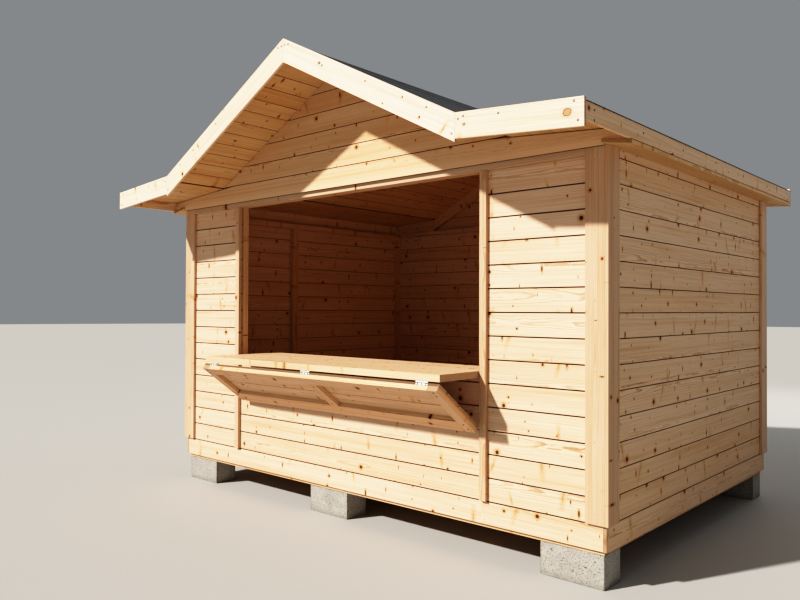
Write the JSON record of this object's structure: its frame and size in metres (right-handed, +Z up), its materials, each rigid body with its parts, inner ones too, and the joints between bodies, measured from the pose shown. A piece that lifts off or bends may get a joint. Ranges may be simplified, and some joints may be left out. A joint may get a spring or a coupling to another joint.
{
  "type": "wooden market stall",
  "caption": "Boarded timber market stall on concrete blocks with a serving opening, fixed counter, hinged prop panel and kinked gable roof.",
  "frame": {"origin": "on the ground under the middle of the whole part's box", "axes": "+Z up, serving front faces -Y, +X to the right of a customer looking at the front"},
  "size_m": [4.314, 3.45, 3.245],
  "materials": {
    "pine_boards": "planed, unpainted",
    "framing_timber": "planed, unpainted",
    "felt": "mineral faced roofing felt",
    "concrete": "rough cast",
    "zinc": "zinc plated"
  },
  "bodies": {
    "stall": {"back_barge_left": "pine_boards", "back_barge_right": "pine_boards", "back_corner_trims": "pine_boards", "back_door": "pine_boards", "back_gable": "pine_boards", "back_top_plate": "pine_boards", "back_wall_by_door": "pine_boards", "back_wall_left": "pine_boards", "back_wall_right": "pine_boards", "corner_posts": "framing_timber", "counter": "pine_boards", "counter_hinges": "zinc", "door_casing": "pine_boards", "door_hardware": "zinc", "eaves_barges": "pine_boards", "eaves_boards": "pine_boards", "eaves_fascias": "pine_boards", "eaves_soffits": "pine_boards", "floor_bearers": "framing_timber", "floor_boards": "framing_timber", "floor_joists": "framing_timber", "foundation_blocks": "concrete", "front_barge_left": "pine_boards", "front_barge_right": "pine_boards", "front_corner_trims": "pine_boards", "front_gable": "pine_boards", "front_top_plate": "pine_boards", "front_wall_below": "pine_boards", "front_wall_left": "pine_boards", "front_wall_right": "pine_boards", "left_wall": "pine_boards", "opening_battens": "pine_boards", "rafters_left": "framing_timber", "rafters_right": "framing_timber", "right_wall": "pine_boards", "roof_boards_left": "pine_boards", "roof_boards_right": "pine_boards", "roof_felt": "felt", "side_corner_trims": "pine_boards", "side_top_plates": "framing_timber", "sill_plate": "framing_timber", "wall_studs": "framing_timber"},
    "flap": {"flap_boards": "pine_boards", "flap_frame": "pine_boards", "flap_hinges": "zinc"}
  },
  "joints": [
    {"name": "flap_hinge", "type": "hinge", "parent": "stall", "child": "flap", "pos_m": [0.0445, -1.558, 1.07], "axis": [-1, 0, 0], "range_deg": [0, 135]}
  ]
}
